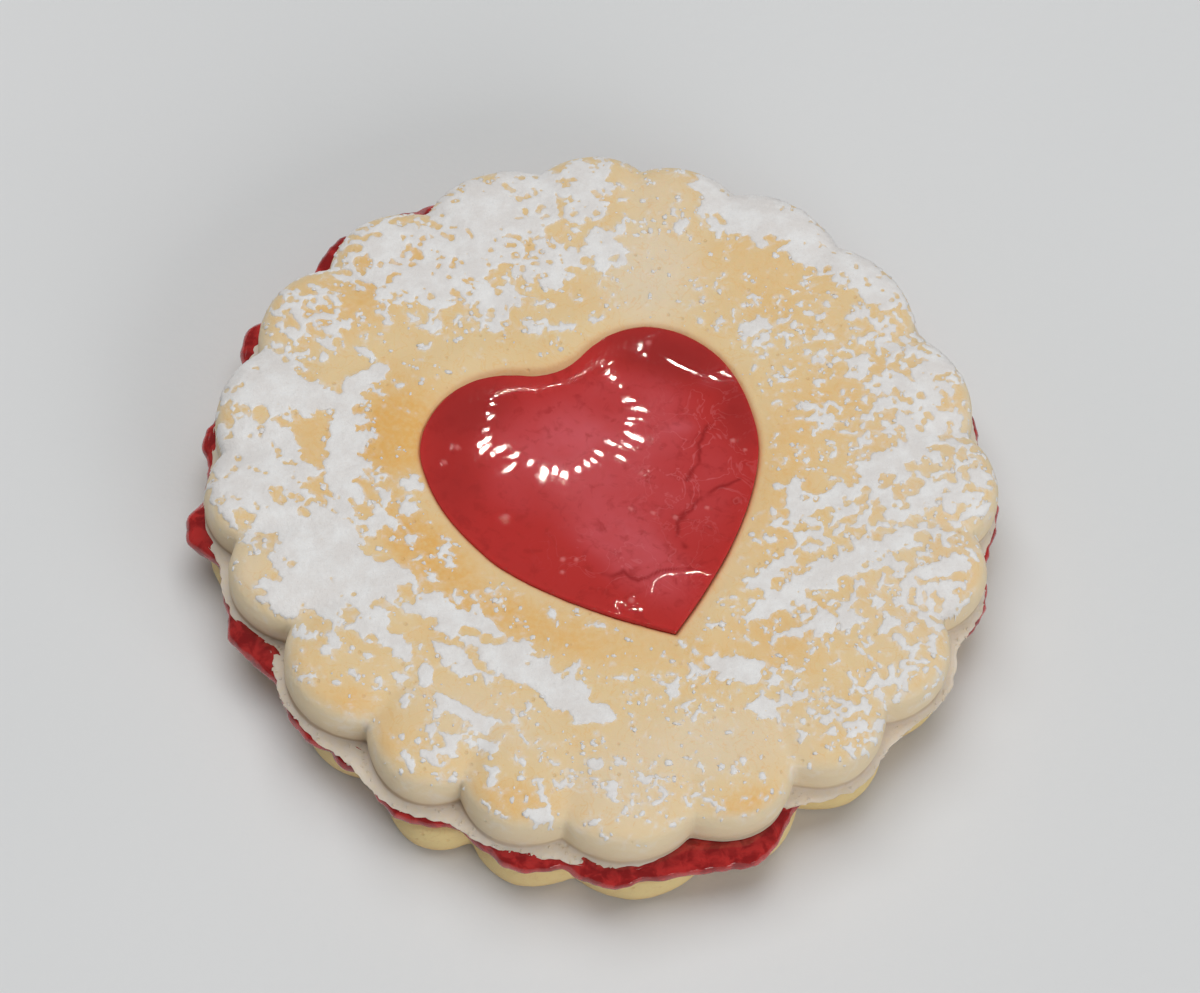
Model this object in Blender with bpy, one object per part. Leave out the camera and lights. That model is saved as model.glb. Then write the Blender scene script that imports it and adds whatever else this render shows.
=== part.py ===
"""Miniature linzer cookie in polymer clay.

Two scalloped biscuits hold a layer of red jam. The upper biscuit has a heart-shaped window, and the
jam wells up through it. The origin is the middle of the scalloped rim, on the surface the cookie
stands on. Sizes are in millimetres, and MM turns them into Blender's metres.
"""

import math

import bmesh
import bpy

MM = 0.001

# Heights of the layers above the table
COOKIE_HEIGHT = 3.5
LOWER_TOP = 1.35
JAM_LAYER = 0.35
CLEARANCE = 0.05  # between pieces that touch

# Scalloped rim, the same for both biscuits
LOBES = 20
TIP_RADIUS = 10.5
NOTCH_RADIUS = 9.87
LOBE_ROUNDNESS = 0.75  # 1 gives half-waves, less gives fuller arcs
STEPS_PER_LOBE = 8
FIRST_NOTCH = 2.0  # degrees from +X
LOWER_TURN = 3.0  # degrees that the lower biscuit is turned against the upper one
LOWER_SHIFT = (-0.05, -0.22)

# Heart-shaped window
HEART_CENTRE = (-0.78, 1.39)  # between the two round lobes
HEART_TURN = 28.9  # degrees from upright
HEART_LOBE_RADIUS = 2.5
HEART_LOBE_SPREAD = 2.0  # from the heart's axis to each lobe's centre
HEART_CLEFT_RADIUS = 1.8  # of the soft hollow between the lobes
HEART_TIP = 6.45  # from the lobes' centre line down to the tip
HEART_SHOULDER = 13.7  # degrees above level where a lobe's arc turns into the flank
HEART_FULLNESS = 0.42  # how far the flank keeps the arc's direction, 0 for a straight flank
WINDOW_LIP = 0.35  # width of the rounded edge round the window
JAM_DIP = 0.22  # from the biscuit's face down to the jam's edge
JAM_CROWN = 0.06  # how far the jam's middle stands above its edge

# Handmade unevenness round the rim, as (waves in a turn, size, phase in degrees)
RADIUS_RIPPLES = ((2, 0.09, 0), (3, 0.17, 220), (4, 0.17, 350), (8, 0.12, 260))
ANGLE_RIPPLES = ((3, 0.8, 185), (4, 1.3, 90), (6, 0.55, 345), (7, 0.6, 135))  # degrees
SKIRT_RIPPLES = ((1, 0.15, 110), (2, 0.10, 220), (3, 0.12, 345), (17, 0.03, 10), (31, 0.02, 70))
JAM_RIPPLES = ((1, 0.35, 170), (2, 0.20, 120), (5, 0.06, 200), (13, 0.06, 0), (23, 0.05, 80))
SKIRT_WIDTH = 0.17  # mean width of the thin skirt of clay at the upper biscuit's foot
SKIRT_FILL = 0.6  # share of each notch's depth that the skirt fills
JAM_REACH = 0.10  # mean distance from the rim's outline out to the jam's edge
JAM_FILL = 0.5


def ripple(degrees, ripples):
    """The sum of the ripples at this angle."""
    total = 0.0
    for waves, size, phase in ripples:
        total += size * math.cos(math.radians(waves * degrees + phase))
    return total


def rim_point(step, reach, softness, fill):
    """(angle in degrees, radius) of one step round the scalloped rim, moved out by reach.

    softness rounds the notch between two lobes: near 0 it is a crease, and 1 makes a gentle wave.
    fill is the share of the notch's depth that is filled up.
    """
    angle = FIRST_NOTCH + 360.0 * step / (LOBES * STEPS_PER_LOBE)
    arch = math.sin(math.pi * step / STEPS_PER_LOBE) ** 2
    low = softness**2
    lobe = ((arch + low) ** (LOBE_ROUNDNESS / 2) - low ** (LOBE_ROUNDNESS / 2)) / (
        (1 + low) ** (LOBE_ROUNDNESS / 2) - low ** (LOBE_ROUNDNESS / 2)
    )
    lobe = fill + (1 - fill) * lobe
    uneven = ripple(angle, RADIUS_RIPPLES)
    radius = NOTCH_RADIUS + uneven + (TIP_RADIUS - NOTCH_RADIUS - uneven / 2) * lobe + reach
    return angle + ripple(angle, ANGLE_RIPPLES), radius


def rim_loop(height, reach, softness, fill=0.0, ripples=(), turn=0.0, shift=(0.0, 0.0)):
    """A closed loop of points along the scalloped rim at one height."""
    loop = []
    for step in range(LOBES * STEPS_PER_LOBE):
        angle, radius = rim_point(step, reach, softness, fill)
        radius += ripple(angle, ripples)
        x = radius * math.cos(math.radians(angle + turn)) + shift[0]
        y = radius * math.sin(math.radians(angle + turn)) + shift[1]
        loop.append((x, y, height))
    return loop


def heart_half(outset):
    """Points of the heart's right half from cleft to tip, in its own upright frame."""
    radius = HEART_LOBE_RADIUS + outset
    cleft_height = math.sqrt((HEART_LOBE_RADIUS + HEART_CLEFT_RADIUS) ** 2 - HEART_LOBE_SPREAD**2)
    start = math.atan2(cleft_height, -HEART_LOBE_SPREAD)
    end = math.radians(HEART_SHOULDER)
    points = []
    for k in range(8):
        angle = -math.pi / 2 + (start - math.pi / 2) * k / 8
        points.append(
            (
                (HEART_CLEFT_RADIUS - outset) * math.cos(angle),
                cleft_height + (HEART_CLEFT_RADIUS - outset) * math.sin(angle),
            )
        )
    for k in range(25):
        angle = start + (end - start) * k / 24
        points.append((HEART_LOBE_SPREAD + radius * math.cos(angle), radius * math.sin(angle)))
    tip = -HEART_TIP - 1.3 * outset
    x0, y0 = points[-1]
    pull = HEART_FULLNESS * math.hypot(x0, y0 - tip)
    x1 = x0 + pull * math.sin(end)
    y1 = y0 - pull * math.cos(end)
    for k in range(1, 25):
        t = k / 24
        x = (1 - t) ** 2 * x0 + 2 * t * (1 - t) * x1
        y = (1 - t) ** 2 * y0 + 2 * t * (1 - t) * y1 + t**2 * tip
        points.append((x, y))
    return points


def heart_outline(outset):
    """The whole heart, as points in order round it, turned and placed on the cookie."""
    half = heart_half(outset)
    mirrored = [(-x, y) for x, y in reversed(half[1:-1])]
    turn = math.radians(HEART_TURN)
    placed = []
    for x, y in half + mirrored:
        placed.append(
            (
                HEART_CENTRE[0] + x * math.cos(turn) - y * math.sin(turn),
                HEART_CENTRE[1] + x * math.sin(turn) + y * math.cos(turn),
            )
        )
    return placed


def heart_middle():
    """A point on the heart's axis, half way between cleft and tip."""
    turn = math.radians(HEART_TURN)
    down = 0.3 * HEART_TIP
    return HEART_CENTRE[0] + down * math.sin(turn), HEART_CENTRE[1] - down * math.cos(turn)


def ray_length(outline, centre, angle):
    """Distance from centre to the outline in one direction."""
    dx, dy = math.cos(angle), math.sin(angle)
    best = 0.0
    for (ax, ay), (bx, by) in zip(outline, outline[1:] + outline[:1]):
        ax, ay, bx, by = ax - centre[0], ay - centre[1], bx - centre[0], by - centre[1]
        side_a, side_b = dx * ay - dy * ax, dx * by - dy * bx
        if side_a * side_b > 0 or side_a == side_b:
            continue
        t = side_a / (side_a - side_b)
        reach = dx * (ax + t * (bx - ax)) + dy * (ay + t * (by - ay))
        best = max(best, reach)
    return best


def heart_loop(height, outset=0.0):
    """A closed loop along the heart, with one point for each point of a rim loop."""
    count = LOBES * STEPS_PER_LOBE
    outline = heart_outline(outset)
    centre = heart_middle()
    cleft = 90 + HEART_TURN
    cleft_step = round((cleft - FIRST_NOTCH) * count / 360)
    loop = []
    for step in range(count):
        angle = math.radians(cleft + 360.0 * (step - cleft_step) / count)
        reach = ray_length(outline, centre, angle)
        loop.append(
            (centre[0] + reach * math.cos(angle), centre[1] + reach * math.sin(angle), height)
        )
    return loop


def between(inner, outer, share, height):
    """The loop that lies this share of the way from inner to outer, at one height."""
    return [
        (a[0] + (b[0] - a[0]) * share, a[1] + (b[1] - a[1]) * share, height)
        for a, b in zip(inner, outer)
    ]


def skinned(name, loops, material, collection, middle=None):
    """A closed solid through the loops in order.

    With no middle the last loop joins the first, as round a window. With middle, the first and the
    last loop are closed by caps that meet over that point, at each loop's own height.
    """
    mesh = bpy.data.meshes.new(name)
    bm = bmesh.new()
    rings = [[bm.verts.new([c * MM for c in point]) for point in loop] for loop in loops]
    pairs = list(zip(rings, rings[1:]))
    if middle is None:
        pairs.append((rings[-1], rings[0]))
    for lower, upper in pairs:
        for i in range(len(lower)):
            j = (i + 1) % len(lower)
            bm.faces.new((lower[i], lower[j], upper[j], upper[i]))
    if middle is not None:
        bottom, top = middle
        for ring, point, order in ((rings[0], bottom, -1), (rings[-1], top, 1)):
            pole = bm.verts.new([c * MM for c in point])
            for i in range(len(ring)):
                pair = (ring[i], ring[(i + 1) % len(ring)])[::order]
                bm.faces.new((*pair, pole))
    bmesh.ops.recalc_face_normals(bm, faces=bm.faces)
    bm.to_mesh(mesh)
    bm.free()
    mesh.shade_smooth()
    mesh.set_sharp_from_angle(angle=math.radians(40))
    mesh.materials.append(material)
    piece = bpy.data.objects.new(name, mesh)
    collection.objects.link(piece)
    return piece


def clay(name, colour, roughness):
    """A plain material of one colour."""
    material = bpy.data.materials.new(name)
    material.use_nodes = True
    shader = material.node_tree.nodes["Principled BSDF"]
    shader.inputs["Base Color"].default_value = (*colour, 1.0)
    shader.inputs["Roughness"].default_value = roughness
    shader.inputs["Metallic"].default_value = 0.0
    return material


def make_lower_biscuit(collection):
    """The plain biscuit underneath, flat on the table, with rounded edges."""
    place = {"turn": LOWER_TURN, "shift": LOWER_SHIFT}
    loops = [
        rim_loop(0.0, -0.40, 0.30, **place),
        rim_loop(0.12, -0.12, 0.15, **place),
        rim_loop(0.40, 0.0, 0.08, **place),
        rim_loop(0.95, 0.0, 0.08, **place),
        rim_loop(1.22, -0.08, 0.15, **place),
        rim_loop(LOWER_TOP, -0.30, 0.30, **place),
    ]
    caps = ((0, 0, 0), (0, 0, LOWER_TOP))
    material = clay("clay_cream", (0.66, 0.47, 0.22), 0.6)
    return skinned("biscuit_bottom", loops, material, collection, caps)


def make_jam(collection):
    """The jam: a thin layer squeezed out unevenly at the rim, and the heart that it fills."""
    base = LOWER_TOP + CLEARANCE
    top = base + JAM_LAYER
    surface = COOKIE_HEIGHT - JAM_DIP
    squeezed = {"fill": JAM_FILL, "ripples": JAM_RIPPLES}
    window = heart_loop(surface, -CLEARANCE)
    x, y = heart_middle()
    middle = [(x, y)] * len(window)
    loops = [
        rim_loop(base, JAM_REACH - 0.15, 0.5, **squeezed),
        rim_loop(base + JAM_LAYER / 2, JAM_REACH, 0.5, **squeezed),
        rim_loop(top, JAM_REACH - 0.15, 0.5, **squeezed),
        heart_loop(top, -CLEARANCE),
        window,
        between(middle, window, 0.6, surface + JAM_CROWN * 0.7),
    ]
    caps = ((x, y, base), (x, y, surface + JAM_CROWN))
    material = clay("jam_red", (0.45, 0.03, 0.03), 0.1)
    return skinned("jam", loops, material, collection, caps)


def make_upper_biscuit(collection):
    """The upper biscuit: flat underside, thin skirt, upright wall, soft shoulder, domed face."""
    foot = LOWER_TOP + JAM_LAYER + 2 * CLEARANCE
    skirt = {"fill": SKIRT_FILL, "ripples": SKIRT_RIPPLES}
    shoulder = rim_loop(COOKIE_HEIGHT - 0.12, -0.75, 0.45)
    lip = heart_loop(COOKIE_HEIGHT, WINDOW_LIP)
    loops = [
        heart_loop(foot),
        rim_loop(foot, SKIRT_WIDTH - 0.03, 0.3, **skirt),
        rim_loop(foot + 0.12, SKIRT_WIDTH, 0.3, **skirt),
        rim_loop(foot + 0.22, -0.02, 0.06),
        rim_loop(foot + 0.60, -0.08, 0.05),
        rim_loop(foot + 1.02, -0.02, 0.06),
        rim_loop(foot + 1.30, -0.12, 0.12),
        rim_loop(foot + 1.48, -0.36, 0.25),
        shoulder,
        between(lip, shoulder, 0.45, COOKIE_HEIGHT - 0.03),
        lip,
        heart_loop(COOKIE_HEIGHT - 0.06, WINDOW_LIP * 0.35),
        heart_loop(COOKIE_HEIGHT - 0.20),
    ]
    material = clay("clay_baked", (0.69, 0.50, 0.28), 0.6)
    return skinned("biscuit_top", loops, material, collection)


def clear_scene():
    for piece in list(bpy.data.objects):
        bpy.data.objects.remove(piece, do_unlink=True)


def main():
    clear_scene()
    cookie = bpy.data.collections.new("linzer_cookie")
    bpy.context.scene.collection.children.link(cookie)
    make_lower_biscuit(cookie)
    make_jam(cookie)
    make_upper_biscuit(cookie)


main()
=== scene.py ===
# %% [markdown]
# # A miniature linzer cookie
#
# The cookie is a doll's-house piece in polymer clay: two scalloped biscuits with a layer of red
# jam between them, a heart-shaped window in the upper one, and white powder brushed over the top.
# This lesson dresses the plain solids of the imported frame. Each cell makes one piece or one
# finish. All sizes below are in millimetres, and MM turns them into Blender's metres.

import math

import bmesh
import bpy
import numpy as np
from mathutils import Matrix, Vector, noise
from mathutils.bvhtree import BVHTree


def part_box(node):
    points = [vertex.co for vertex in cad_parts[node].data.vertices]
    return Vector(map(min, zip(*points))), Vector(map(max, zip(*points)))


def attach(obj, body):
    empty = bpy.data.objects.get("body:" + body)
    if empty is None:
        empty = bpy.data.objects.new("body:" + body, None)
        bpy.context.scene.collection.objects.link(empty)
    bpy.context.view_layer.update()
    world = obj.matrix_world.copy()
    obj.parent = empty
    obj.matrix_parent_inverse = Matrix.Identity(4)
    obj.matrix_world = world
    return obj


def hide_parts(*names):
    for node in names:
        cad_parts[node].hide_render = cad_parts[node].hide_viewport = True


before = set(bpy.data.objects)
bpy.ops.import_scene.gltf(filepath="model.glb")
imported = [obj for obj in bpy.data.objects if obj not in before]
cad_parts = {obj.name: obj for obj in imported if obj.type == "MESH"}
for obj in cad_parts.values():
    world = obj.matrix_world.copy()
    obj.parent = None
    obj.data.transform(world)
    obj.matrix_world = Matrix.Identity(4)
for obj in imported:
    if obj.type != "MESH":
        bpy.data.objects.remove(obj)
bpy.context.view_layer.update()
MM = 0.001
print("frame nodes:", sorted(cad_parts))

# %% [markdown]
# ## Heights of the layers
#
# The frame says where each layer begins and ends. The clay and the jam of the real piece stick
# together, so each hair-thin gap between two solids is closed here, half from each side.


# %% Read the layers from the frame
def layer(node):
    """Lowest and highest point of a node of the frame, in millimetres."""
    low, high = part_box(node)
    return low.z / MM, high.z / MM


LOWER_TOP = layer("biscuit_bottom")[1]
UPPER_FOOT, FACE = layer("biscuit_top")
print(f"lower biscuit up to {LOWER_TOP:.2f}, upper biscuit from {UPPER_FOOT:.2f} to {FACE:.2f}")

# %% [markdown]
# ## The scalloped rim
#
# A round fluted cutter gives 20 lobes. Each lobe is a raised half-wave: a power below one makes
# it fuller, and a small softness rounds the notch between two lobes. The cutter was pressed by
# hand, so the radius and the spacing of the lobes swell and shrink slowly round the rim. That
# unevenness is a sum of a few ripples, each one (waves in a turn, size, phase in degrees).

# %% Rim formulas
LOBES = 20
TIP_RADIUS = 10.5
NOTCH_RADIUS = 9.87
LOBE_ROUNDNESS = 0.75
FIRST_NOTCH = 2.0
RADIUS_RIPPLES = ((2, 0.09, 0), (3, 0.17, 220), (4, 0.17, 350), (8, 0.12, 260))
ANGLE_RIPPLES = ((3, 0.8, 185), (4, 1.3, 90), (6, 0.55, 345), (7, 0.6, 135))
SHALLOW_LOBES = ((88.0, 32.0, 0.42), (128.0, 10.0, 0.25), (45.0, 12.0, 0.25))
COLUMNS = 36 * LOBES


def ripple(degrees, ripples):
    """The sum of the ripples at these angles."""
    total = np.zeros_like(degrees)
    for waves, size, phase in ripples:
        total += size * np.cos(np.radians(waves * degrees + phase))
    return total


def humps(angle, spans):
    """The sum of flat-topped humps, each one (middle, half width, size)."""
    total = np.zeros_like(angle)
    for middle, half_width, size in spans:
        away = (angle - middle + 180) % 360 - 180
        total += size * np.exp(-((away / half_width) ** 4))
    return total


def rim_loop(height, reach, softness, fill=0.0, extra=None, turn=0.0, shift=(0.0, 0.0), drop=0.0):
    """Points along the scalloped rim at one height, moved out by reach and by extra(angle).

    The loop sags by drop at the notches.
    """
    step = np.arange(COLUMNS) / COLUMNS
    angle = FIRST_NOTCH + 360 * step
    arch = np.sin(math.pi * LOBES * step) ** 2
    low = softness**2
    power = LOBE_ROUNDNESS / 2
    lobe = ((arch + low) ** power - low**power) / ((1 + low) ** power - low**power)
    fill = np.clip(fill + humps(angle, SHALLOW_LOBES), 0, 0.95)
    lobe = fill + (1 - fill) * lobe
    uneven = ripple(angle, RADIUS_RIPPLES)
    radius = NOTCH_RADIUS + uneven + (TIP_RADIUS - NOTCH_RADIUS - uneven / 2) * lobe + reach
    angle = angle + ripple(angle, ANGLE_RIPPLES)
    if extra is not None:
        radius = radius + extra(angle)
    heading = np.radians(angle + turn)
    x = radius * np.cos(heading) + shift[0]
    y = radius * np.sin(heading) + shift[1]
    return np.stack([x, y, height - drop * (1 - lobe) ** 2], axis=1)


print(f"rim: {LOBES} lobes, {COLUMNS} columns of points")

# %% [markdown]
# ## The heart
#
# Half a heart is one arc and one gently bulging flank, and the other half mirrors it. A third arc
# rounds the cleft, because the cutter's cleft is soft. Every loop along the heart needs as many
# points as a loop along the rim, so the outline is cut by rays from a point on the heart's axis.

# %% Heart formulas
HEART_CENTRE = (-0.78, 1.39)
HEART_TURN = 28.9
HEART_LOBE_RADIUS = 2.5
HEART_LOBE_SPREAD = 2.0
HEART_CLEFT_RADIUS = 1.8
HEART_TIP = 6.45
HEART_SHOULDER = 13.7
HEART_FULLNESS = 0.42
HEART_DENTS = ((150.0, 24.0, -0.12), (56.0, 22.0, -0.12), (-160.0, 20.0, -0.11))
HEART_AXIS = np.array([math.sin(math.radians(HEART_TURN)), -math.cos(math.radians(HEART_TURN))])
HEART_MIDDLE = np.array(HEART_CENTRE) + 0.3 * HEART_TIP * HEART_AXIS


def heart_outline(outset=0.0, points=60):
    """The heart as points in order round it, turned and placed on the cookie."""
    radius = HEART_LOBE_RADIUS + outset
    cleft_radius = HEART_CLEFT_RADIUS - outset
    cleft_height = math.sqrt((HEART_LOBE_RADIUS + HEART_CLEFT_RADIUS) ** 2 - HEART_LOBE_SPREAD**2)
    start = math.atan2(cleft_height, -HEART_LOBE_SPREAD)
    end = math.radians(HEART_SHOULDER)
    cleft_sweep = np.linspace(-math.pi / 2, start - math.pi, points // 4)[:-1]
    cleft = np.stack([np.cos(cleft_sweep), np.sin(cleft_sweep)], axis=1) * cleft_radius + (0, cleft_height)
    sweep = np.linspace(start, end, points)
    arc = np.stack([HEART_LOBE_SPREAD + radius * np.cos(sweep), radius * np.sin(sweep)], axis=1)
    tip = np.array([0.0, -HEART_TIP - 1.3 * outset])
    pull = HEART_FULLNESS * np.linalg.norm(arc[-1] - tip)
    bend = arc[-1] + pull * np.array([math.sin(end), -math.cos(end)])
    t = np.linspace(0, 1, points)[1:, None]
    flank = (1 - t) ** 2 * arc[-1] + 2 * t * (1 - t) * bend + t**2 * tip
    half = np.concatenate([cleft, arc, flank])
    whole = np.concatenate([half, half[-2:0:-1] * (-1, 1)])
    turn = math.radians(HEART_TURN)
    spin = np.array([[math.cos(turn), -math.sin(turn)], [math.sin(turn), math.cos(turn)]])
    placed = whole @ spin.T + HEART_CENTRE
    away = placed - HEART_MIDDLE
    length = np.linalg.norm(away, axis=1)
    dent = humps(np.degrees(np.arctan2(away[:, 1], away[:, 0])), HEART_DENTS)
    return HEART_MIDDLE + away * (1 + dent / length)[:, None]


def heart_loop(height, outset=0.0):
    """Points along the heart, one for each column of the rim, at one height."""
    outline = heart_outline(outset) - HEART_MIDDLE
    after = np.roll(outline, -1, axis=0)
    cleft = 90 + HEART_TURN
    first = round((cleft - FIRST_NOTCH) * COLUMNS / 360)
    angle = np.radians(cleft + 360 * (np.arange(COLUMNS) - first) / COLUMNS)
    ray = np.stack([np.cos(angle), np.sin(angle)], axis=1)
    side = ray[:, :1] * outline[:, 1] - ray[:, 1:] * outline[:, 0]
    side_after = ray[:, :1] * after[:, 1] - ray[:, 1:] * after[:, 0]
    span = np.where(side == side_after, 1.0, side - side_after)
    t = side / span
    along = ray @ outline.T + t * (ray @ after.T - ray @ outline.T)
    reach = np.where((side * side_after <= 0) & (along > 0), along, 0).max(axis=1)
    flat = HEART_MIDDLE + ray * reach[:, None]
    return np.concatenate([flat, np.full((COLUMNS, 1), height)], axis=1)


def heart_distance(points, outset=0.0):
    """Distance from the heart's outline, in the plane, and below zero inside the heart."""
    outline = heart_outline(outset, 30)
    after = np.roll(outline, -1, axis=0)
    flat = points[:, :2]
    best = np.full(len(flat), 1e9)
    inside = np.zeros(len(flat), bool)
    for a, b in zip(outline, after):
        edge = b - a
        t = np.clip((flat - a) @ edge / (edge @ edge), 0, 1)
        best = np.minimum(best, np.linalg.norm(flat - a - t[:, None] * edge, axis=1))
        crosses = (a[1] > flat[:, 1]) != (b[1] > flat[:, 1])
        rise = b[1] - a[1] if b[1] != a[1] else 1.0
        inside ^= crosses & (flat[:, 0] < a[0] + (flat[:, 1] - a[1]) * edge[0] / rise)
    return np.where(inside, -best, best)


print(f"heart: middle at {HEART_MIDDLE.round(2)}")

# %% [markdown]
# ## Helpers for soft, handmade surfaces
#
# A few loops describe each layer, and a smooth curve through them gives the rows between. Smooth
# random noise then adds what a hand does to clay: dents, pores and wobbling edges. Oval patches
# with soft edges say where something lies on the face, such as powder or browning.


# %% Rows, noise and patches
def rows_through(loops, counts, closed=False):
    """Rows of points on a smooth curve through the loops, with counts rows between two loops."""
    points = np.array(loops)
    if closed:
        points = np.concatenate([points, points[:1]])
    lengths = np.linalg.norm(np.diff(points, axis=0), axis=2).mean(axis=1)[:, None, None]
    slopes = np.diff(points, axis=0) / lengths
    inner = (slopes[:-1] * lengths[1:] + slopes[1:] * lengths[:-1]) / (lengths[1:] + lengths[:-1])
    if closed:
        seam = (slopes[-1] * lengths[0] + slopes[0] * lengths[-1]) / (lengths[0] + lengths[-1])
        tangents = np.concatenate([seam[None], inner, seam[None]])
    else:
        tangents = np.concatenate([slopes[:1], inner, slopes[-1:]])
    rows = []
    for i, count in enumerate(counts):
        for t in np.arange(count) / count:
            start = (2 * t**3 - 3 * t**2 + 1) * points[i] + (3 * t**2 - 2 * t**3) * points[i + 1]
            lean = (t**3 - 2 * t**2 + t) * tangents[i] + (t**3 - t**2) * tangents[i + 1]
            rows.append(start + lean * lengths[i])
    if not closed:
        rows.append(points[-1])
    return np.array(rows)


def mottle(points, size, seed, octaves=2):
    """Smooth random values, about -1 to 1, with blotches of this size."""
    shift = Vector((31.7 * seed, -17.3 * seed, 9.1 * seed))
    return np.array([noise.fractal(Vector(p) / size + shift, 1.0, 2.0, octaves) for p in points])


def smooth_step(values, low, high):
    """0 below low, 1 above high, and an even curve between."""
    t = np.clip((values - low) / (high - low), 0, 1)
    return t * t * (3 - 2 * t)


def oval_distance(points, x, y, long, wide, turn):
    """Distance from an oval's middle, 1 on its outline."""
    c, s = math.cos(math.radians(turn)), math.sin(math.radians(turn))
    u = ((points[:, 0] - x) * c + (points[:, 1] - y) * s) / long
    v = ((points[:, 1] - y) * c - (points[:, 0] - x) * s) / wide
    return np.hypot(u, v)


def patches(points, ovals, crispness=1.5):
    """How strongly the ovals cover each point, from 0 to 1.

    An oval is (x, y, half length, half width, turn in degrees, strength).
    """
    bare = np.ones(len(points))
    for *oval, strength in ovals:
        bare *= 1 - strength * np.exp(-(oval_distance(points, *oval) ** (2 * crispness)))
    return 1 - bare


# %% Faces and meshes
def grid_faces(rows, columns, wrap_rows):
    """Quads between neighbouring rows, going round the columns."""
    r = np.arange(rows if wrap_rows else rows - 1)[:, None]
    c = np.arange(columns)[None, :]
    after_r, after_c = (r + 1) % rows, (c + 1) % columns
    quads = [r * columns + c, r * columns + after_c, after_r * columns + after_c, after_r * columns + c]
    return np.stack(quads, axis=2).reshape(-1, 4).tolist()


def capped_faces(rows, columns):
    """Quads between the rows, a fan to one point above them and a fan to one point below."""
    faces = grid_faces(rows, columns, wrap_rows=False)
    top, bottom = rows * columns, rows * columns + 1
    for i in range(columns):
        after = (i + 1) % columns
        faces.append([top - columns + i, top - columns + after, top])
        faces.append([after, i, bottom])
    return faces


def in_scene(name, data):
    """A new object in the scene."""
    thing = bpy.data.objects.new(name, data)
    bpy.context.scene.collection.objects.link(thing)
    return thing


def make_piece(name, points, faces, material, fields):
    """A mesh object from points in millimetres, with named fields for its material."""
    mesh = bpy.data.meshes.new(name)
    mesh.from_pydata((np.asarray(points) * MM).tolist(), [], faces)
    mesh.validate()
    bm = bmesh.new()
    bm.from_mesh(mesh)
    bmesh.ops.recalc_face_normals(bm, faces=bm.faces)
    bm.to_mesh(mesh)
    bm.free()
    mesh.shade_smooth()
    for field, values in fields.items():
        layer_data = mesh.attributes.new(field, "FLOAT", "POINT")
        layer_data.data.foreach_set("value", np.asarray(values, np.float32))
    mesh.materials.append(material)
    triangles = sum(len(polygon.vertices) - 2 for polygon in mesh.polygons)
    print(f"{name}: {len(mesh.polygons)} faces, {triangles} triangles")
    return in_scene(name, mesh)


def row_normals(grid, closed):
    """Unit normals of a grid of rows and columns, pointing out of a layer built upwards."""
    along = np.roll(grid, -1, axis=1) - np.roll(grid, 1, axis=1)
    if closed:
        across = np.roll(grid, -1, axis=0) - np.roll(grid, 1, axis=0)
    else:
        across = np.gradient(grid, axis=0)
    normals = np.cross(along, across)
    return normals / np.maximum(np.linalg.norm(normals, axis=2, keepdims=True), 1e-9)


# %% [markdown]
# ## A short way to write materials
#
# Each finish is a Principled shader with a few noises. The recipe below keeps the node writing
# short: it makes one node a line, and every noise is sized in millimetres of the real cookie.


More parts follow.
